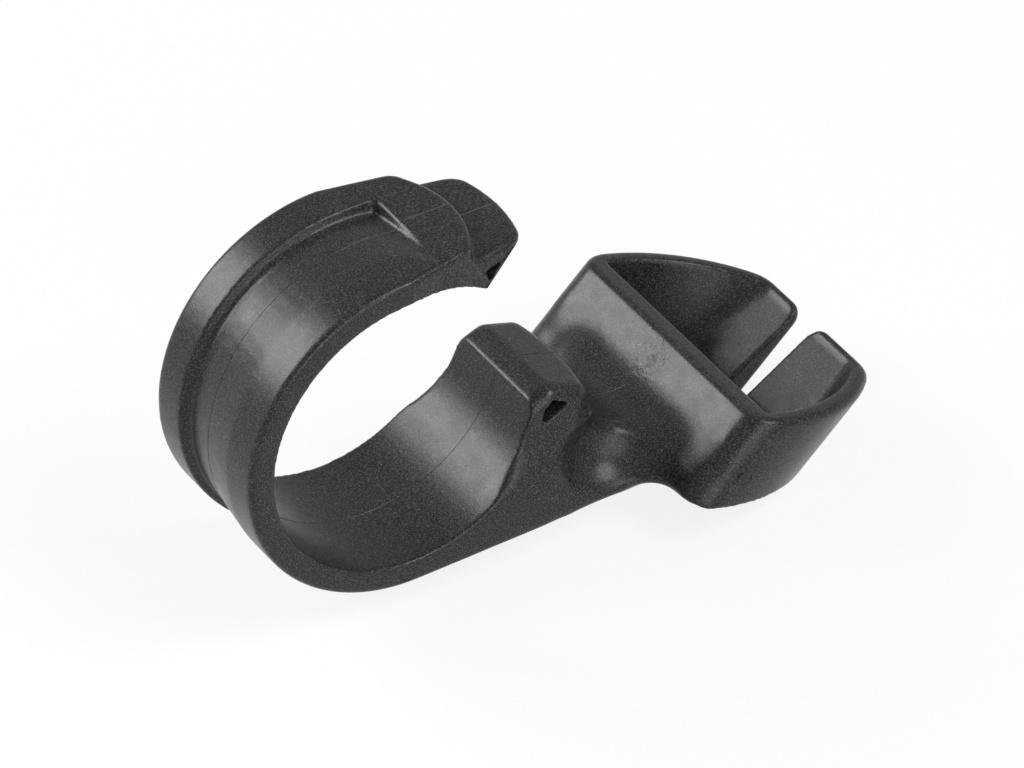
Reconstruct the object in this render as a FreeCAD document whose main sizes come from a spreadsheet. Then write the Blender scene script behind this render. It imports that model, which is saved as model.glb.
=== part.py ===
import FreeCAD, Part
import Sketcher
import math
import os
import re

# Stem accessory mount: one moulded piece. All sizes in millimetres and degrees.
# X runs from the clip to the socket, Y along the bar that the clip holds, Z up.
# The origin is on the bar's axis, half way along the clip.

SIZES = [
    # The clip: an open ring that snaps over the bar.
    ("bore_radius", 15.9),
    ("band_width", 18.2),
    ("band_wall", 2.8),
    ("mouth_high", 46.3),
    ("mouth_low", 15.0),
    ("band_round", 0.6),
    # The recess round the outside of the clip.
    ("recess_half", 4.45),
    ("recess_deep", 1.1),
    ("recess_high", 77.5),
    ("recess_low", 105.0),
    ("recess_round", 0.7),
    # The upper lug: a pad with a bowed end over a lower knob.
    ("pad_corner", 8.5),
    ("pad_end_half", 6.2),
    ("lug_taper", 11.5),
    ("pad_bow", 12.0),
    ("pad_corner_run", 1.5),
    ("pad_corner_round", 2.2),
    ("step_deep", 2.0),
    ("mouth_slope", 43.5),
    ("knob_bow", 25.0),
    ("knob_corner_round", 2.0),
    ("knob_round", 0.6),
    # The lower lug, which carries the other side of the mouth.
    ("lip_run", 2.15),
    ("lip_rise", 0.9),
    ("lip_round", 1.0),
    ("lug_run", 7.0),
    ("lug_fall", 1.8),
    ("lug_half", 7.1),
    ("lug_bow", 22.0),
    ("lug_end_high", 1.3052),
    ("lug_end_deep", 3.0),
    ("lug_corner_round", 1.5),
    ("lug_round", 1.5),
    ("neck_drop", 1.6),
    ("foot_high", 2.5248),
    # The small channels through the lugs, each placed from its side of the mouth.
    ("high_channel_in", 1.35),
    ("high_channel_up", 3.2),
    ("low_channel_out", 0.95),
    ("low_channel_down", 3.0),
    ("channel_size", 3.0),
    # The arm and the valley in front of the socket, and the scoops in the arm's sides.
    ("arm_rise", 1.5),
    ("flare_radius", 3.0),
    ("web_bend", 6.0),
    ("web_low", 1.7752),
    ("web_high", 3.4),
    ("scoop_run", 7.1),
    ("scoop_high", 7.0),
    ("scoop_deep", 3.6),
    ("scoop_half_length", 7.0),
    ("scoop_half_height", 5.6),
    ("scoop_half_depth", 8.0),
    # The socket: a round cup with two flats, leaning away from the clip.
    ("socket_lean", 43.0),
    ("rim_fall", 16.2),
    ("rim_run", 19.9),
    ("rim_high", 10.15),
    ("cup_radius", 16.9),
    ("cup_offset", 2.9),
    ("near_wall", 2.0),
    ("side_wall", 2.0),
    ("far_wall", 1.3),
    ("cup_height", 11.4),
    ("far_half", 9.3),
    ("far_draft", 2.0),
    ("near_round", 3.0),
    ("far_round", 4.0),
    ("cavity_round", 3.0),
    ("floor_thick", 2.4),
    ("slot_width", 3.0),
    ("slot_shift", 0.9),
    ("slot_round", 1.5),
    ("rim_round", 0.8),
]

doc = FreeCAD.newDocument("stem_accessory_mount")
sheet = doc.addObject("Spreadsheet::Sheet", "dims")
for row, (alias, number) in enumerate(SIZES, start=1):
    sheet.set("A%d" % row, alias)
    sheet.set("B%d" % row, str(number))
    sheet.setAlias("B%d" % row, alias)
doc.recompute()

NAMES = re.compile(r"\b(%s)\b" % "|".join(alias for alias, number in SIZES))


def bound(text):
    """The expression with every size name pointing at the sheet."""
    return NAMES.sub(r"dims.\1", text)


def value(text):
    return float(sheet.evalExpression(bound(text)))


body = doc.addObject("PartDesign::Body", "mount_body")
body.Label = "mount_body"
body.Placement = FreeCAD.Placement()


def plane(role):
    return [item for item in body.Origin.OriginFeatures if item.Role == role][0]


def new_sketch(name, role, base=None, turn=None):
    """A sketch on an origin plane, shifted by base and turned about Y by expressions."""
    sketch = body.newObject("Sketcher::SketchObject", name)
    sketch.AttachmentSupport = [(plane(role), "")]
    sketch.MapMode = "FlatFace"
    if turn:
        sketch.AttachmentOffset = FreeCAD.Placement(
            FreeCAD.Vector(), FreeCAD.Rotation(FreeCAD.Vector(0, 1, 0), value(turn)))
        sketch.setExpression("AttachmentOffset.Rotation.Angle", bound(turn))
    for axis, text in (base or {}).items():
        sketch.setExpression("AttachmentOffset.Base." + axis, bound(text))
    return sketch


def place(sketch, spot, axis, text, name):
    """Ties one coordinate of a corner to an expression."""
    geometry, end = spot
    if abs(value(text)) < 1e-9:
        line = -2 if axis == "X" else -1
        sketch.addConstraint(Sketcher.Constraint("PointOnObject", geometry, end, line))
        return
    rule = Sketcher.Constraint("Distance" + axis, geometry, end, value(text))
    number = sketch.addConstraint(rule)
    sketch.renameConstraint(number, name + axis.lower())
    sketch.setExpression("Constraints." + name + axis.lower(), bound(text))


def outline(sketch, corners, bends=None, name="p"):
    """A closed outline through the corners; bends gives the arcs as
    start corner: (radius, +1 left turn or -1 right turn, True where it is the long way)."""
    bends = bends or {}
    points = [FreeCAD.Vector(value(x), value(y), 0) for x, y in corners]
    first = sketch.GeometryCount
    starts, ends = [], []
    for index, start in enumerate(points):
        finish = points[(index + 1) % len(points)]
        geometry = first + index
        if index not in bends:
            sketch.addGeometry(Part.LineSegment(start, finish), False)
            starts.append((geometry, 1))
            ends.append((geometry, 2))
            continue
        radius, turn, long_way = bends[index]
        chord = finish - start
        left = FreeCAD.Vector(-chord.y, chord.x, 0).normalize()
        offset = math.sqrt(max(value(radius) ** 2 - chord.Length ** 2 / 4, 0.0))
        centre = (start + finish) * 0.5 + left * (-offset * turn if long_way else offset * turn)
        circle = Part.Circle(centre, FreeCAD.Vector(0, 0, 1), value(radius))
        angles = [math.atan2(p.y - centre.y, p.x - centre.x) for p in (start, finish)]
        if turn > 0:
            sketch.addGeometry(Part.ArcOfCircle(circle, angles[0], angles[1]), False)
            starts.append((geometry, 1))
            ends.append((geometry, 2))
        else:
            sketch.addGeometry(Part.ArcOfCircle(circle, angles[1], angles[0]), False)
            starts.append((geometry, 2))
            ends.append((geometry, 1))
        number = sketch.addConstraint(Sketcher.Constraint("Radius", geometry, value(radius)))
        sketch.renameConstraint(number, "%s%dr" % (name, index))
        sketch.setExpression("Constraints.%s%dr" % (name, index), bound(radius))
    for index in range(len(points)):
        after = starts[(index + 1) % len(points)]
        sketch.addConstraint(Sketcher.Constraint("Coincident", *ends[index], *after))
    for index, (x, y) in enumerate(corners):
        place(sketch, starts[index], "X", x, "%s%d" % (name, index))
        place(sketch, starts[index], "Y", y, "%s%d" % (name, index))


def feature(kind, name, sketch, **settings):
    """A PartDesign feature on a sketch; text settings are bound to the sheet."""
    item = body.newObject("PartDesign::" + kind, name)
    item.Profile = sketch
    for key, setting in settings.items():
        if isinstance(setting, str) and key in ("Length", "Length2", "Angle", "Angle2", "Offset"):
            item.setExpression(key, bound(setting))
        else:
            setattr(item, key, setting)
    doc.recompute()
    sketch.Visibility = False
    return item


def rounded(name, radius, wanted):
    """Rounds the edges of the body that the test picks by their middle points."""
    before = body.Tip
    edges = ["Edge%d" % (i + 1) for i, edge in enumerate(before.Shape.Edges)
             if wanted(edge, edge.valueAt((edge.FirstParameter + edge.LastParameter) / 2))]
    item = body.newObject("PartDesign::Fillet", name)
    item.Base = (before, edges)
    item.setExpression("Radius", bound(radius))
    doc.recompute()
    return item


def near(number, text, slack=0.05):
    return abs(number - value(text)) < slack


def radius_of(point):
    return math.hypot(point.x, point.z)


def all_ends(edge, test):
    return all(test(vertex.Point) for vertex in edge.Vertexes)


# Places that several features share, as expressions over the sizes.
OUTER = "(bore_radius + band_wall)"
HALF = "(band_width / 2)"
HIGH_X = "(bore_radius * cos(mouth_high))"
HIGH_Z = "(bore_radius * sin(mouth_high))"
LOW_X = "(bore_radius * cos(mouth_low))"
LOW_Z = "(-bore_radius * sin(mouth_low))"
KNOB_Z = "(%s - step_deep)" % OUTER
KNOB_X = "(%s + (%s - %s) / tan(mouth_slope))" % (HIGH_X, KNOB_Z, HIGH_Z)
LIP_X = "(%s + lip_run)" % LOW_X
LIP_Z = "(%s + lip_rise)" % LOW_Z
LUG_X = "(bore_radius + lug_run)"
LUG_Z = "(%s - lug_fall)" % LIP_Z
RIM_X = "(bore_radius + rim_run)"
RIM_Z = "(rim_high - %s)" % OUTER
CUP_LONG = "(cup_offset + sqrt(cup_radius ^ 2 - far_half ^ 2))"
FOOT_X = "(%s - cup_height * cos(socket_lean))" % RIM_X
FOOT_Z = "(%s - cup_height * sin(socket_lean))" % RIM_Z


def across_cup(point):
    """How far a point lies across the cup from the outside of its near wall."""
    lean = math.radians(value("socket_lean"))
    shift = point - FreeCAD.Vector(value(RIM_X), 0, value(RIM_Z))
    return shift.x * math.sin(lean) - shift.z * math.cos(lean)


def over_rim(point):
    """How far a point lies above the plane of the rim."""
    fall = math.radians(value("rim_fall"))
    shift = point - FreeCAD.Vector(value(RIM_X), 0, value(RIM_Z))
    return shift.x * math.sin(fall) + shift.z * math.cos(fall)


def by_rim(across, down):
    """Side-view point: across along the rim's slope, down along the lean from the rim."""
    x = "%s + (%s) * cos(rim_fall) - (%s) * cos(socket_lean)" % (RIM_X, across, down)
    z = "%s - (%s) * sin(rim_fall) - (%s) * sin(socket_lean)" % (RIM_Z, across, down)
    return x, z


# The socket is drawn on a plane square to its lean, from the rim's near outer edge:
# sketch x runs across the cup away from the clip, sketch y along the bar.
LEAN = {"x": RIM_X, "z": RIM_Z}
TURN = "90 - socket_lean"
near_half = "sqrt(cup_radius ^ 2 - cup_offset ^ 2)"
cup_plan = new_sketch("cup_plan", "XY_Plane", LEAN, TURN)
outline(cup_plan, [
    ("0", near_half),
    ("0", "-" + near_half),
    (CUP_LONG, "-far_half"),
    (CUP_LONG, "far_half"),
], {1: ("cup_radius", 1, False), 3: ("cup_radius", 1, False)})
feature("Pad", "cup", cup_plan, Length="2 * (%s + cup_height)" % CUP_LONG, SideType="Symmetric")
rounded("near_corners", "near_round",
        lambda edge, p: near(across_cup(p), "0") and abs(p.y) > value("slot_width")
        and edge.Length > value("cup_height"))
rounded("far_corners", "far_round",
        lambda edge, p: near(across_cup(p), CUP_LONG) and edge.Length > value("cup_height"))


def cut_level(name, top, bottom):
    """Cuts the cup away between two levels parallel to the rim."""
    sketch = new_sketch(name + "_side", "XZ_Plane")
    outline(sketch, [
        by_rim("-2 * cup_radius", top),
        by_rim("2 * cup_radius", top),
        by_rim("2 * cup_radius", bottom),
        by_rim("-2 * cup_radius", bottom),
    ])
    return feature("Pocket", name, sketch, Type="ThroughAll", SideType="Symmetric")


cut_level("rim_level", "0", "-3 * cup_radius")
cut_level("foot_level", "cup_height", "4 * cup_radius")

SLANT = "sin(socket_lean + rim_fall)"
cup = body.Tip
middle = cup.Shape.Solids[0].CenterOfMass
flats = [(i, face) for i, face in enumerate(cup.Shape.Faces)
         if face.Surface.TypeId == "Part::GeomPlane"]
foot = ["Face%d" % (i + 1) for i, face in flats
        if abs(over_rim(face.CenterOfMass)) > 1 and abs(face.normalAt(0, 0).z) > 0.9
        and face.CenterOfMass.z < middle.z]
near_face = ["Face%d" % (i + 1) for i, face in flats if near(across_cup(face.CenterOfMass), "0")]

# The cavity keeps a floor above the foot of the cup. Its far wall leans back a little more
# than the outside, and a slot opens that wall from the rim to the foot.
inner = "(cup_radius - side_wall)"
INNER_LONG = "(%s - far_wall)" % CUP_LONG
inner_near = "sqrt(%s ^ 2 - (cup_offset - near_wall) ^ 2)" % inner
inner_far = "sqrt(%s ^ 2 - (%s - cup_offset) ^ 2)" % (inner, INNER_LONG)
cavity_plan = new_sketch("cavity_plan", "XY_Plane", LEAN, TURN)
outline(cavity_plan, [
    ("near_wall", inner_near),
    ("near_wall", "-" + inner_near),
    (INNER_LONG, "-" + inner_far),
    (INNER_LONG, inner_far),
], {1: (inner, 1, False), 3: (inner, 1, False)})
feature("Pocket", "cavity", cavity_plan, SideType="Two sides", Type="UpToFace", Type2="ThroughAll",
        UpToFace=(cup, foot), Offset="-floor_thick")
draft_side = new_sketch("draft_side", "XZ_Plane")
outline(draft_side, [
    by_rim("%s / %s" % (INNER_LONG, SLANT), "rim_round"),
    by_rim("(%s + far_wall / 2) / %s" % (INNER_LONG, SLANT), "cup_height - floor_thick / 2"),
    by_rim("(%s - far_draft) / %s" % (INNER_LONG, SLANT), "cup_height - floor_thick / 2"),
])
feature("Pad", "far_wall_draft", draft_side, SideType="Symmetric",
        Length="2 * sqrt(%s ^ 2 - (%s - far_draft - cup_offset) ^ 2)" % (inner, INNER_LONG))
rounded("cavity_corners", "cavity_round",
        lambda edge, p: across_cup(p) > value("cup_offset + far_half") and over_rim(p) < -1
        and near(math.hypot(across_cup(p) - value("cup_offset"), p.y), inner)
        and all_ends(edge, lambda q: abs(q.y) > value("slot_width")
                     and across_cup(q) > value(INNER_LONG + " - far_draft - 0.1")))
slot_plan = new_sketch("slot_plan", "XY_Plane", LEAN, TURN)
outline(slot_plan, [
    (INNER_LONG + " - far_draft", "slot_shift + slot_width / 2"),
    (INNER_LONG + " - far_draft", "slot_shift - slot_width / 2"),
    (CUP_LONG + " + far_wall", "slot_shift - slot_width / 2"),
    (CUP_LONG + " + far_wall", "slot_shift + slot_width / 2"),
])
feature("Pocket", "slot", slot_plan, SideType="Two sides", Type="ThroughAll", Type2="ThroughAll")
rounded("slot_corners", "slot_round",
        lambda edge, p: abs(over_rim(p)) < 0.02 and near(abs(p.y - value("slot_shift")), "slot_width / 2"))

# The clip, its two lugs and the arm share one side view. The valley's arc is tangent to the
# end of the lower lug and to the near wall of the cup, so its radius follows from the gap
# between them. The arm's underside leaves the ring as a tangent and ends on the cup's foot.
VALLEY = ("(((%s - lug_end_high - %s) * cos(socket_lean) + (%s - %s) * sin(socket_lean))"
          " / (1 + sin(socket_lean)))" % (LUG_Z, RIM_Z, RIM_X, LUG_X))
VALLEY_X = "(%s + %s)" % (LUG_X, VALLEY)
VALLEY_Z = "(%s - lug_end_high)" % LUG_Z
ARM_END = ("((%s + tan(rim_fall) * %s + %s / cos(arm_rise)) / (tan(arm_rise) + tan(rim_fall)))"
           % (FOOT_Z, FOOT_X, OUTER))
into_wall = "(%s + near_wall / 2)" % VALLEY
side = new_sketch("clip_side", "XZ_Plane")
outline(side, [
    (HIGH_X, HIGH_Z),
    (KNOB_X, KNOB_Z),
    ("sqrt(%s ^ 2 - %s ^ 2)" % (OUTER, KNOB_Z), KNOB_Z),
    ("%s * sin(arm_rise)" % OUTER, "-%s * cos(arm_rise)" % OUTER),
    (ARM_END, "%s * tan(arm_rise) - %s / cos(arm_rise)" % (ARM_END, OUTER)),
    ("%s + near_wall / 2 * sin(socket_lean) + floor_thick / 2 * cos(socket_lean)" % FOOT_X,
     "%s - near_wall / 2 * cos(socket_lean) + floor_thick / 2 * sin(socket_lean)" % FOOT_Z),
    ("%s + %s * sin(socket_lean)" % (VALLEY_X, into_wall),
     "%s - %s * cos(socket_lean)" % (VALLEY_Z, into_wall)),
    ("%s + %s * sin(socket_lean)" % (VALLEY_X, VALLEY),
     "%s - %s * cos(socket_lean)" % (VALLEY_Z, VALLEY)),
    (LUG_X, VALLEY_Z),
    (LUG_X, LUG_Z),
    (LIP_X, LIP_Z),
    (LOW_X, LOW_Z),
], {
    2: (OUTER, 1, True),
    7: (VALLEY, -1, False),
    11: ("bore_radius", -1, True),
})
feature("Pad", "clip", side, Length="band_width", SideType="Symmetric")

# The neck: the arm and the lower lug are narrower than the foot, as far as the cup's wall.
NECK_TOP = "(%s - neck_drop)" % LUG_Z
NECK_FOOT = "(%s + foot_high)" % FOOT_Z
NECK_IN = "(%s - lug_half)" % HALF
neck_bend = "(%s / 4 + (%s - %s) ^ 2 / (4 * %s))" % (NECK_IN, NECK_TOP, NECK_FOOT, NECK_IN)
neck = new_sketch("neck_section", "YZ_Plane")
for sign, turn in (("", 1), ("-", -1)):
    outline(neck, [
        (sign + "lug_half", "-" + LOW_Z),
        (sign + "lug_half", NECK_TOP),
        (sign + "(%s + lug_half) / 2" % HALF, "(%s + %s) / 2" % (NECK_TOP, NECK_FOOT)),
        (sign + HALF, NECK_FOOT),
        (sign + "(%s + band_wall)" % HALF, NECK_FOOT),
        (sign + "(%s + band_wall)" % HALF, "-" + LOW_Z),
    ], {1: (neck_bend, turn, False), 2: (neck_bend, -turn, False)}, "n" if sign else "p")
feature("Pocket", "neck", neck, Type="UpToFace", UpToFace=(cup, near_face), Reversed=True)
rounded("flare", "flare_radius",
        lambda edge, p: near(across_cup(p), "0") and abs(p.y) < value(HALF + " + 0.1")
        and abs(p.y) > value("lug_half - 0.1") and p.z < value(VALLEY_Z)
        and all_ends(edge, lambda q: near(across_cup(q), "0")))

# A web on each side widens the foot of the arm in a bend towards the cup.
WEB_X = "(%s + near_wall / 2)" % FOOT_X
web = new_sketch("web_plan", "XY_Plane", {"z": "web_low - " + OUTER})
for sign, turn, name in (("", 1, "p"), ("-", -1, "n")):
    outline(web, [
        ("%s - web_bend" % WEB_X, sign + HALF),
        (WEB_X, sign + "(%s + web_bend)" % HALF),
        (WEB_X + " + 1.5 * near_wall", sign + "(%s + web_bend)" % HALF),
        (WEB_X + " + 1.5 * near_wall", sign + "(%s - band_wall)" % HALF),
        ("%s - web_bend" % WEB_X, sign + "(%s - band_wall)" % HALF),
    ], {0: ("web_bend", turn, False)}, name)
feature("Pad", "foot_webs", web, Length="web_high")

# Scoops in both sides of the arm blend the neck into the foot of the cup.
for sign, name in (("", "rear_scoop"), ("-", "front_scoop")):
    scoop = body.newObject("PartDesign::SubtractiveEllipsoid", name)
    scoop.AttachmentSupport = [(plane("XY_Plane"), "")]
    scoop.MapMode = "FlatFace"
    for key, text in (
        ("Radius1", "scoop_half_height"),
        ("Radius2", "scoop_half_length"),
        ("Radius3", "scoop_half_depth"),
        ("AttachmentOffset.Base.x", "bore_radius + scoop_run"),
        ("AttachmentOffset.Base.y", sign + "(%s - scoop_deep + scoop_half_depth)" % HALF),
        ("AttachmentOffset.Base.z", "scoop_high - " + OUTER),
    ):
        scoop.setExpression(key, bound(text))
    doc.recompute()

# The upper lug draws in towards the mouth. Its end is a knob with a bowed face.
WIDE = "(%s + band_wall)" % HALF
TAPER = "(%s - %s * tan(lug_taper))"
PAST = "(%s + band_wall)" % KNOB_X
lug_sides = new_sketch("lug_sides", "XY_Plane")
for sign, name in (("", "p"), ("-", "n")):
    outline(lug_sides, [
        ("0", sign + HALF),
        (PAST, sign + TAPER % (HALF, PAST)),
        (PAST, sign + WIDE),
        ("0", sign + WIDE),
    ], None, name)
feature("Pocket", "upper_lug_sides", lug_sides, Type="ThroughAll", Reversed=True)
knob_bow = new_sketch("knob_bow_plan", "XY_Plane", {
    "x": "%s - band_wall * cos(mouth_slope)" % HIGH_X,
    "z": "%s - band_wall * sin(mouth_slope)" % HIGH_Z,
}, "90 - mouth_slope")
BOW_IN = "(knob_bow - sqrt(knob_bow ^ 2 - %s ^ 2))" % WIDE
outline(knob_bow, [
    ("-" + BOW_IN, "-" + WIDE),
    ("band_wall", "-" + WIDE),
    ("band_wall", WIDE),
    ("-" + BOW_IN, WIDE),
], {3: ("knob_bow", -1, False)})
feature("Pocket", "knob_end", knob_bow, Length="4 * band_wall", Reversed=True)
rounded("knob_corners", "knob_corner_round",
        lambda edge, p: p.x > value(HIGH_X) and abs(p.y) > value("bore_radius / 4")
        and p.z > value(HIGH_Z) and p.z < value(KNOB_Z + " - 0.5"))
rounded("knob_top", "knob_round",
        lambda edge, p: near(p.z, KNOB_Z, 0.01) and p.x > value("bore_radius / 2")
        and all_ends(edge, lambda q: near(q.z, KNOB_Z, 0.01))
        and (abs(p.y) > 1 or p.x > value(KNOB_X + " - 1")))

# The pad stands on the knob and the ring, and ends in a bow over the knob.
PAD_SIDE = "(pad_corner - pad_corner_run)"
pad_plan = new_sketch("pad_plan", "XY_Plane", {"z": KNOB_Z + " - 0.3 * step_deep"})
outline(pad_plan, [
    ("0", "-" + HALF),
    (PAD_SIDE, "-" + TAPER % (HALF, PAD_SIDE)),
    ("pad_corner", "-pad_end_half"),
    ("pad_corner", "pad_end_half"),
    (PAD_SIDE, TAPER % (HALF, PAD_SIDE)),
    ("0", HALF),
], {
    1: ("pad_corner_round", 1, False),
    2: ("pad_bow", 1, False),
    3: ("pad_corner_round", 1, False),
})
feature("Pad", "upper_pad", pad_plan, Length="1.3 * step_deep")

# The outer edges of the ring and of the pad are rounded in one run.
TOP = OUTER + " - 0.01"
rounded("band_edges", "band_round",
        lambda edge, p: radius_of(p) > value(TOP) and all_ends(edge, lambda q: radius_of(q) > value(TOP))
        and (p.x < 0.5 and near(abs(p.y), HALF, 0.01)
             or p.x > 0 and p.x < value("bore_radius") and p.z > value(TOP)
             and (abs(p.y) > value("pad_end_half") or p.x > value("pad_corner - 1"))))

# The lower lug ends in a bow too, and its lip and its edges are rounded.
lug = new_sketch("lug_plan", "XY_Plane", {"z": LUG_Z + " - lug_end_deep"})
LUG_SIDE = "(%s - lug_bow + sqrt(lug_bow ^ 2 - %s ^ 2))" % (LUG_X, HALF)
outline(lug, [
    (LUG_SIDE, "-" + HALF),
    (LUG_X + " + band_wall", "-" + HALF),
    (LUG_X + " + band_wall", HALF),
    (LUG_SIDE, HALF),
], {3: ("lug_bow", -1, False)})
feature("Pocket", "lug_end", lug, Length="lug_end_deep + lug_fall + lip_rise", Reversed=True)
rounded("lip_edge", "lip_round",
        lambda edge, p: abs(p.y) < 0.3 and near(p.x, LIP_X) and near(p.z, LIP_Z))
rounded("lug_corners", "lug_corner_round",
        lambda edge, p: near(p.x, LUG_X + " - lug_bow + sqrt(lug_bow ^ 2 - lug_half ^ 2)", 0.1)
        and near(abs(p.y), "lug_half", 0.02)
        and p.z > value(NECK_TOP) and p.z < value(LUG_Z + " + 0.3"))
rounded("lug_top", "lug_round",
        lambda edge, p: p.x > value(LOW_X) and p.x < value(LUG_X + " + 0.1")
        and p.z < value(LIP_Z + " + 0.1")
        and all_ends(edge, lambda q: q.z > value(LUG_Z + " - 0.1"))
        and (near(abs(p.y), "lug_half", 0.02) or p.x > value(LUG_X + " - 2"))
        and not near(p.y, "0", 0.3))


def outside(point):
    across = across_cup(point)
    return (across < value("near_wall / 2") or across > value(INNER_LONG + " + far_wall / 2")
            or math.hypot(across - value("cup_offset"), point.y) > value(inner + " + side_wall / 2"))


def on_rim(edge, point):
    return abs(over_rim(point)) < 0.02 and all_ends(edge, lambda q: abs(over_rim(q)) < 0.02)


rounded("rim_outside", "rim_round", lambda edge, p: on_rim(edge, p) and outside(p))

# Small channels run through both lugs.
HIGH_IN = ("(%s - high_channel_in)" % HIGH_X, "(%s + high_channel_up)" % HIGH_Z)
LOW_IN = ("(%s + low_channel_out)" % LOW_X, "(%s - low_channel_down)" % LOW_Z)
channels = new_sketch("channels", "XZ_Plane")
outline(channels, [
    HIGH_IN,
    (HIGH_IN[0] + " + 0.27 * channel_size", HIGH_IN[1] + " - 0.6 * channel_size"),
    (HIGH_IN[0] + " + 0.87 * channel_size", HIGH_IN[1] + " + 0.1 * channel_size"),
], None, "h")
outline(channels, [
    LOW_IN,
    (LOW_IN[0] + " + 1.1 * channel_size", LOW_IN[1] + " + 0.55 * channel_size"),
    (LOW_IN[0] + " + 0.43 * channel_size", LOW_IN[1] + " + 0.85 * channel_size"),
    (LOW_IN[0] + " + 0.1 * channel_size", LOW_IN[1] + " + 0.6 * channel_size"),
], None, "l")
feature("Pocket", "lug_channels", channels, Type="ThroughAll", SideType="Symmetric")

# The recess: its rear wall is square, and its floor runs out towards the front.
recess = new_sketch("recess_section", "XY_Plane")
FLOOR = "(%s - recess_deep)" % OUTER
CLEAR = "(%s + band_round)" % OUTER
RUN = "(2 * recess_half / recess_deep)"
outline(recess, [
    ("-" + CLEAR, "recess_half"),
    ("-" + FLOOR, "recess_half"),
    ("-" + CLEAR, "recess_half - %s * (recess_deep + band_round)" % RUN),
])
feature("Groove", "recess", recess, ReferenceAxis=(plane("Y_Axis"), [""]), Type="TwoAngles",
        Angle="180 - recess_high", Angle2="180 - recess_low")
rounded("recess_edge", "recess_round",
        lambda edge, p: near(radius_of(p), FLOOR) and near(p.y, "recess_half")
        and edge.Length > value(OUTER))

doc.recompute()
for item in doc.Objects:
    if "Invalid" in item.State or "Error" in item.State:
        raise RuntimeError("%s did not build: %s" % (item.Label, item.State))
shape = body.Shape
if shape.isNull() or not shape.isValid() or len(shape.Solids) != 1:
    raise RuntimeError("mount_body is not one valid solid")
os.makedirs("parts", exist_ok=True)
shape.exportStep("parts/mount_body.step")
print("mount_body", round(shape.Volume), "mm3")
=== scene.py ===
# %% [markdown]
# # A moulded stem accessory mount
#
# This lesson dresses one CAD part for a studio picture. The part is a single piece of
# black glass-filled nylon: a clip for a bicycle stem, a short arm and a leaning cup.
# Each step is a short cell, and each cell prints what it made.

import math

import bmesh
import bpy
from mathutils import Matrix, Vector
from mathutils.bvhtree import BVHTree


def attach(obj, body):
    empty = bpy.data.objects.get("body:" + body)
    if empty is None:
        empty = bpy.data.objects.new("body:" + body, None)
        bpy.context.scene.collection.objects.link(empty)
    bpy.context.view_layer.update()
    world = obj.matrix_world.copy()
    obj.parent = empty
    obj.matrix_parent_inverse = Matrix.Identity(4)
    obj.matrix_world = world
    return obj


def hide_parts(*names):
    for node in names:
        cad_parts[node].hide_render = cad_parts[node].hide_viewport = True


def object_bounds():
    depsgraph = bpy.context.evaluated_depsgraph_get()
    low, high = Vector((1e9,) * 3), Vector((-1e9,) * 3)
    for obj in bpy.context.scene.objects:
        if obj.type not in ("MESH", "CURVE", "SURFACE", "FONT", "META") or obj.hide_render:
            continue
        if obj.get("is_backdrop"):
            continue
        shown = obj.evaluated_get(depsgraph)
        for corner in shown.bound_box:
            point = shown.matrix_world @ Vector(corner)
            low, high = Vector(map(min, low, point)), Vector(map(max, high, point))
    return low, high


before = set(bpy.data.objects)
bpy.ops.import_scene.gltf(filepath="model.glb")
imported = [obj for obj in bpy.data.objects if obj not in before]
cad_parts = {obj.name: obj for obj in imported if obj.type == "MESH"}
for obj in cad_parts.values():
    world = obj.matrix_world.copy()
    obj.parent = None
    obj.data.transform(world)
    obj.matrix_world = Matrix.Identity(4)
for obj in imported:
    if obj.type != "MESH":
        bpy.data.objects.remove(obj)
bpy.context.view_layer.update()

# %% [markdown]
# ## Units, colours and nodes
#
# Blender works in metres and the part is measured in millimetres, so one constant turns
# one into the other. Colours are written as the hex numbers a screen shows, and one
# function turns them into the linear values that shaders use. Another adds a shader node
# with its settings and its links.

# %% Small helpers
MM = 0.001


def colour(hex_text):
    """Linear RGBA from a screen colour such as 2A2A2C."""
    channels = [int(hex_text[i:i + 2], 16) / 255 for i in (0, 2, 4)]
    linear = [c / 12.92 if c <= 0.04045 else ((c + 0.055) / 1.055) ** 2.4 for c in channels]
    return (*linear, 1.0)


def add_node(tree, kind, links=None, **settings):
    """A new shader node: settings name its sockets or properties, links what feeds it."""
    node = tree.nodes.new(kind)
    for key, value in settings.items():
        name = key.replace("_", " ")
        if name in node.inputs:
            node.inputs[name].default_value = value
        else:
            setattr(node, key, value)
    for socket, source in (links or {}).items():
        tree.links.new(source, node.inputs[socket])
    return node


def mesh_from(bm, name):
    """The mesh of a finished bmesh, which is then let go."""
    mesh = bpy.data.meshes.new(name)
    bm.to_mesh(mesh)
    print(name + ":", len(bm.verts), "points,", len(bm.faces), "faces")
    bm.free()
    return mesh


def add_object(name, data):
    item = bpy.data.objects.new(name, data)
    bpy.context.scene.collection.objects.link(item)
    return item


print("helpers ready")

# %% [markdown]
# ## The moulded skin
#
# The CAD mesh has crisp creases where two surfaces meet. A moulded part never does: the
# plastic leaves a small radius everywhere. A bevel could round single edges, but it stops
# at the slivers of a CAD mesh. So a copy of the mesh is merged and rebuilt as an even grid
# of small quads, a voxel remesh, which can then be relaxed like wax.

# %% An even grid over a merged copy
MERGE_GAP = 0.002 * MM
SKIN_GRID = 0.22 * MM

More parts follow.
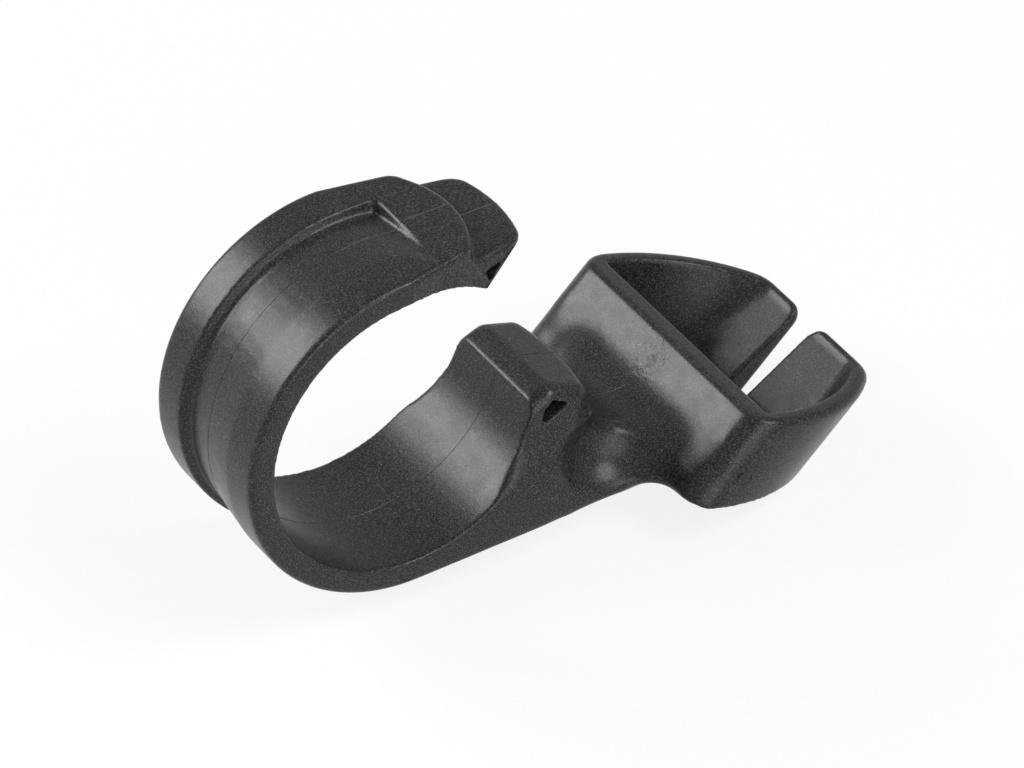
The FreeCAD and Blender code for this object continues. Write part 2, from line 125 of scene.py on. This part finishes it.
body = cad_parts["mount_body"]
bm = bmesh.new()
bm.from_mesh(body.data)
bm.transform(body.matrix_world)
bmesh.ops.remove_doubles(bm, verts=bm.verts[:], dist=MERGE_GAP)
bmesh.ops.recalc_face_normals(bm, faces=bm.faces[:])
pattern = add_object("pattern", mesh_from(bm, "merged copy"))
remesh = pattern.modifiers.new("even grid", "REMESH")
remesh.mode = "VOXEL"
remesh.voxel_size = SKIN_GRID
remesh.use_smooth_shade = True
bpy.context.view_layer.update()
grid = bpy.data.meshes.new_from_object(
    pattern.evaluated_get(bpy.context.evaluated_depsgraph_get()))
bpy.data.objects.remove(pattern)
grid.name = "moulded_skin"
skin = add_object("moulded_skin", grid)
print("even grid:", len(grid.polygons), "faces")

# %% [markdown]
# ## Where the skin is relaxed
#
# Most edges of the real part have a radius of about half a millimetre. The arm's sides
# flow into the cup in one long soft hollow, with no edge at all, and the lip of the lower
# lug and the end of the recess are rounder than the rest. Three vertex groups say where
# each kind of smoothing acts, and a smooth modifier uses each of them. The thin tip of the
# upper lug and the mouth of the lower channel stay crisp, so they have little weight.

# %% Vertex groups for the edges and the hollows
# Each zone is a centre and a reach along x, y and z, in millimetres.
HOLLOWS = [
    ((22.0, 8.8, -12.2), (10.0, 6.0, 6.4)),
    ((17.0, 8.8, -13.2), (7.0, 5.0, 5.0)),
    ((29.0, 11.0, -14.0), (6.5, 6.5, 5.4)),
]
SOFT_EDGES = [
    ((17.6, 0.0, -3.4), (2.4, 9.0, 2.2)),
    ((4.3, 0.0, 18.4), (3.2, 6.4, 2.4)),
]
CRISP_EDGES = [
    ((11.2, 0.0, 12.6), (3.2, 14.0, 3.2)),
    ((17.9, 7.6, -6.8), (2.4, 2.4, 2.4)),
]
CRISP_HOLD = 0.75


def zone(point, centre, reach):
    """Distance from a zone's centre as a share of its reach, on both sides of the part."""
    spot = (point.x / MM, abs(point.y) / MM, point.z / MM)
    return math.sqrt(sum(((s - c) / r) ** 2 for s, c, r in zip(spot, centre, reach)))


def fade(distance):
    """1 in the inner half of a zone, then evenly down to 0 at its border."""
    rest = max(0.0, 1.0 - distance)
    return min(1.0, 2.0 * rest)


def strongest(point, zones):
    return max(fade(zone(point, centre, reach)) for centre, reach in zones)


groups = {name: skin.vertex_groups.new(name=name) for name in ("edges", "soft edges", "hollows")}
for vertex in grid.vertices:
    held = CRISP_HOLD * strongest(vertex.co, CRISP_EDGES)
    groups["edges"].add([vertex.index], 1.0 - held, "REPLACE")
    for name, zones in (("soft edges", SOFT_EDGES), ("hollows", HOLLOWS)):
        weight = strongest(vertex.co, zones)
        if weight > 0.0:
            groups[name].add([vertex.index], weight, "REPLACE")
print("vertex groups:", list(groups))

# %% [markdown]
# ## Relax, then thin out
#
# Relaxing moves every point towards the middle of its neighbours. Afterwards the flat
# parts need far fewer faces than the rounded edges, and a decimate modifier thins them.

# %% Relax modifiers
RELAX_TIMES = {"hollows": 400, "soft edges": 30, "edges": 9}
RELAX_FACTOR = 0.5
SKIN_FACES = 180000

for name, times in RELAX_TIMES.items():
    relax = skin.modifiers.new("relax " + name, "SMOOTH")
    relax.vertex_group = name
    relax.factor = RELAX_FACTOR
    relax.iterations = times
thin = skin.modifiers.new("thin out", "DECIMATE")
thin.ratio = min(1.0, SKIN_FACES / (2 * len(grid.polygons)))
bpy.context.view_layer.update()
shown = skin.evaluated_get(bpy.context.evaluated_depsgraph_get())
print("skin:", len(shown.data.polygons), "faces")
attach(skin, "root")
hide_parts("mount_body")

# %% [markdown]
# ## The parting line
#
# The two halves of the mould meet in the middle of the clip, and leave a hair-thin ridge
# there. A plane cuts the finished skin in that middle, and the cut line is kept on the
# clip, the lugs and the valley. Extruding it to both sides and sinking the new points a
# little makes a low roof that sits on the skin.

# %% Ridge along the middle plane
RIDGE_HIGH = 0.03 * MM
RIDGE_HALF = 0.09 * MM
RIDGE_SINK = 0.05 * MM
RIDGE_END = 31 * MM
ON_PLANE = 1e-7

bm = bmesh.new()
bm.from_mesh(shown.data)
surface = BVHTree.FromBMesh(bm)
bmesh.ops.bisect_plane(
    bm, geom=bm.verts[:] + bm.edges[:] + bm.faces[:], dist=ON_PLANE,
    plane_co=(0.0, 0.0, 0.0), plane_no=(0.0, 1.0, 0.0), clear_inner=True, clear_outer=True)
beyond = [point for point in bm.verts if point.co.x > RIDGE_END]
bmesh.ops.delete(bm, geom=beyond, context="VERTS")
crest = bm.edges[:]
crest_points = bm.verts[:]
for side in (1, -1):
    grown = bmesh.ops.extrude_edge_only(bm, edges=crest)["geom"]
    flank = [item for item in grown if isinstance(item, bmesh.types.BMVert)]
    for point in flank:
        normal = surface.find_nearest(point.co)[1]
        point.co += Vector((0.0, side * RIDGE_HALF, 0.0)) - normal * RIDGE_SINK
for point in crest_points:
    point.co += surface.find_nearest(point.co)[1] * RIDGE_HIGH
bmesh.ops.recalc_face_normals(bm, faces=bm.faces[:])
ridge = add_object("parting_line", mesh_from(bm, "parting_line"))
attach(ridge, "root")

# %% [markdown]
# ## Marks of the ejector pins
#
# Round pins push the part out of the mould, and the rim of each pin shows as a faint
# circle. Each one is a very thin ring, made by spinning a small circle round the pin's
# axis, and half sunk into the nearest spot of the skin.

# %% Thin rings on the near side
PIN_RADIUS = 0.85 * MM
PIN_EDGE = 0.045 * MM
PIN_SIDES = 8
PIN_STEPS = 64
PINS = [
    (5.1, -8.2, 16.6),
    (14.8, -8.6, -10.2),
    (-0.8, -9.1, -17.25),
    (34.1, -16.0, -14.7),
]

bm = bmesh.new()
for pin in PINS:
    spot, normal = surface.find_nearest(Vector(pin) * MM)[:2]
    turn = normal.to_track_quat("Z", "Y").to_matrix().to_4x4()
    pose = Matrix.Translation(spot) @ turn
    start = pose @ Matrix.Translation((PIN_RADIUS, 0.0, 0.0)) @ Matrix.Rotation(math.pi / 2, 4, "X")
    ring = bmesh.ops.create_circle(bm, segments=PIN_SIDES, radius=PIN_EDGE, matrix=start)["verts"]
    loop = list({edge for point in ring for edge in point.link_edges})
    bmesh.ops.spin(
        bm, geom=ring + loop, cent=spot, axis=pose.to_3x3() @ Vector((0.0, 0.0, 1.0)),
        angle=2 * math.pi, steps=PIN_STEPS, use_merge=True)
bmesh.ops.recalc_face_normals(bm, faces=bm.faces[:])
pins = add_object("pin_marks", mesh_from(bm, "pin_marks"))
for face in pins.data.polygons:
    face.use_smooth = True
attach(pins, "root")

# %% [markdown]
# ## Black glass-filled nylon
#
# The plastic is nearly black with a satin finish. Short glass fibres lie near the
# surface and show as fine pale flecks, and the melt leaves slow patches that shine more
# or less. Two noise textures give these, both in the part's own millimetres. The real
# fibres are finer than a pixel, so the flecks are drawn as coarse as they need to show.

# %% Colour and gloss of the nylon
nylon = bpy.data.materials.new("glass-filled nylon")
nylon.use_nodes = True
tree = nylon.node_tree
tree.nodes.clear()
on_part = add_node(tree, "ShaderNodeTexCoord").outputs["Object"]
flecks = add_node(
    tree, "ShaderNodeTexNoise", {"Vector": on_part}, Scale=6.5 / MM, Detail=2.0, Roughness=0.6)
patches = add_node(
    tree, "ShaderNodeTexNoise", {"Vector": on_part}, Scale=0.5 / MM, Detail=4.0, Roughness=0.6)
tint = add_node(tree, "ShaderNodeValToRGB", {"Fac": flecks.outputs["Fac"]})
for stop, position, shade in zip(tint.color_ramp.elements, (0.48, 0.68), ("151617", "4C4D4C")):
    stop.position = position
    stop.color = colour(shade)
gloss = add_node(
    tree, "ShaderNodeMapRange", {"Value": patches.outputs["Fac"]},
    From_Min=0.3, From_Max=0.7, To_Min=0.26, To_Max=0.35)
print("flecks and patches ready")

# %% [markdown]
# ## Flow marks and grain
#
# The melt came in at the cup's near wall, and left short wrinkles round that spot. They
# are a third noise, faded out by a ball-shaped gradient. Under them lie the slow swell of
# the patches and the fine grain of the flecks. All three are too low to be modelled, from
# a fiftieth to a tenth of a millimetre or so, so they are bumps, each fed into the next.

# %% Bumps and the finished nylon
GATE = (34.1 * MM, 0.0, -10.1 * MM)
GATE_REACH = 5.0 * MM

near_gate = add_node(
    tree, "ShaderNodeMapping", {"Vector": on_part}, vector_type="TEXTURE",
    Location=GATE, Scale=(GATE_REACH, GATE_REACH, GATE_REACH))
ball = add_node(
    tree, "ShaderNodeTexGradient", {"Vector": near_gate.outputs["Vector"]},
    gradient_type="SPHERICAL")
wrinkles = add_node(
    tree, "ShaderNodeTexNoise", {"Vector": on_part}, Scale=0.9 / MM, Detail=3.0, Distortion=1.6)
flow = add_node(
    tree, "ShaderNodeBump", {"Strength": ball.outputs["Fac"], "Height": wrinkles.outputs["Fac"]},
    Distance=0.11 * MM)
swell = add_node(
    tree, "ShaderNodeBump", {"Height": patches.outputs["Fac"], "Normal": flow.outputs["Normal"]},
    Strength=0.35, Distance=0.05 * MM)
grain = add_node(
    tree, "ShaderNodeBump", {"Height": flecks.outputs["Fac"], "Normal": swell.outputs["Normal"]},
    Strength=0.5, Distance=0.02 * MM)
shader = add_node(
    tree, "ShaderNodeBsdfPrincipled",
    {"Base Color": tint.outputs["Color"], "Roughness": gloss.outputs["Result"],
     "Normal": grain.outputs["Normal"]},
    IOR=1.5, Specular_IOR_Level=0.26)
add_node(tree, "ShaderNodeOutputMaterial", {"Surface": shader.outputs["BSDF"]})
for piece in (skin, ridge, pins):
    piece.data.materials.append(nylon)
print("material:", nylon.name)

# %% [markdown]
# ## The floor and the pale room
#
# The floor is white paper. To the camera, most of its light is its own white, so that it
# is pale without more lamps and still shows the shadow. The room round it is pale to the
# eye and in reflections, and only a weak fill for the rest.

# %% Floor and world
FLOOR_SIZE = 3.0

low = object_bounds()[0]
bm = bmesh.new()
bmesh.ops.create_grid(bm, x_segments=1, y_segments=1, size=FLOOR_SIZE)
bm.transform(Matrix.Translation((0.0, 0.0, low[2])))
floor = add_object("floor", mesh_from(bm, "floor"))
paper = bpy.data.materials.new("white paper")
paper.use_nodes = True
sheet = paper.node_tree
sheet.nodes.clear()
matte = add_node(sheet, "ShaderNodeBsdfDiffuse", Color=colour("F4F4F4"))
white = add_node(sheet, "ShaderNodeEmission", Color=colour("FFFFFF"), Strength=1.0)
pale = add_node(
    sheet, "ShaderNodeMixShader",
    {1: matte.outputs["BSDF"], 2: white.outputs["Emission"]}, Fac=0.85)
floor.data.materials.append(paper)
floor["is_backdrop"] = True

world = bpy.data.worlds.new("pale room")
bpy.context.scene.world = world
world.use_nodes = True
sky = world.node_tree
sky.nodes.clear()
seen = add_node(sky, "ShaderNodeBackground", Color=colour("FFFFFF"), Strength=0.6)
fill = add_node(sky, "ShaderNodeBackground", Color=colour("FFFFFF"), Strength=0.12)
print("floor at", round(low[2] / MM, 2), "mm")

# %% [markdown]
# ## What the camera and reflections see
#
# The floor and the room need the same switch: one look for rays from the camera, from a
# reflection or through glass, and another for the light that falls on the part. A loop
# adds it to both.

# %% One switch for the floor and the room
for tree, finish, lit, shown_as in (
    (sheet, "ShaderNodeOutputMaterial", matte.outputs["BSDF"], pale.outputs["Shader"]),
    (sky, "ShaderNodeOutputWorld", fill.outputs["Background"], seen.outputs["Background"]),
):
    rays = add_node(tree, "ShaderNodeLightPath")
    mirrored = add_node(
        tree, "ShaderNodeMath",
        {0: rays.outputs["Is Glossy Ray"], 1: rays.outputs["Is Transmission Ray"]},
        operation="MAXIMUM")
    either = add_node(
        tree, "ShaderNodeMath",
        {0: rays.outputs["Is Camera Ray"], 1: mirrored.outputs["Value"]},
        operation="MAXIMUM")
    choose = add_node(
        tree, "ShaderNodeMixShader", {"Fac": either.outputs["Value"], 1: lit, 2: shown_as})
    add_node(tree, finish, {"Surface": choose.outputs["Shader"]})
    print(finish, "gets", len(tree.nodes), "nodes")

# %% [markdown]
# ## Lamps
#
# A large soft lamp behind the clip on the left draws the broad highlights on the ring, in
# the bore and on the near wall of the cup. One high on the right catches the rounded
# edges and the hollow in the arm. A wide weak one in front fills the near side.

# %% Soft lamps
AIM = Vector((12.36, -7.60, 0.20)) * MM


def lamp(name, towards, distance, size, power):
    """A square area lamp that shines on the part from a direction, in metres and watts."""
    data = bpy.data.lights.new(name, "AREA")
    data.size = size
    data.energy = power
    item = add_object(name, data)
    way = Vector(towards).normalized()
    item.location = AIM + way * distance
    item.rotation_euler = way.to_track_quat("Z", "Y").to_euler()
    print(name, "at", [round(c, 2) for c in item.location])


lamp("rear left", (-0.58, 0.67, 0.46), 0.8, 0.42, 6.0)
lamp("high right", (0.35, -0.5, 0.8), 0.9, 0.4, 4.8)
lamp("front fill", (-0.1, -0.98, 0.2), 0.9, 0.8, 5.5)

# %% [markdown]
# ## The camera
#
# The camera stands far away with a long lens, so that the picture is almost free of
# perspective, and looks down on the near left side of the part.

# %% Camera
AZIMUTH = math.radians(-32.2072)
ELEVATION = math.radians(37.6806)
CAMERA_FAR = 954.0 * MM

away = Vector((
    math.sin(AZIMUTH) * math.cos(ELEVATION),
    -math.cos(AZIMUTH) * math.cos(ELEVATION),
    math.sin(ELEVATION),
))
camera_data = bpy.data.cameras.new("camera")
camera_data.sensor_width = 36.0
camera_data.lens = 338.8
camera_data.clip_end = 10.0
camera = add_object("camera", camera_data)
camera.location = AIM + away * CAMERA_FAR
camera.rotation_euler = away.to_track_quat("Z", "Y").to_euler()
bpy.context.scene.camera = camera
bpy.context.scene.view_settings.view_transform = "Standard"
print("camera at", [round(c, 3) for c in camera.location])

# %% [markdown]
# ## The size of the dressed part
#
# The box round the dressed part is printed in millimetres. The dressed part has to fill
# the same box as the CAD part.

# %% Size
low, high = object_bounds()
print("box", [round((h - l) / MM, 1) for l, h in zip(low, high)], "mm")
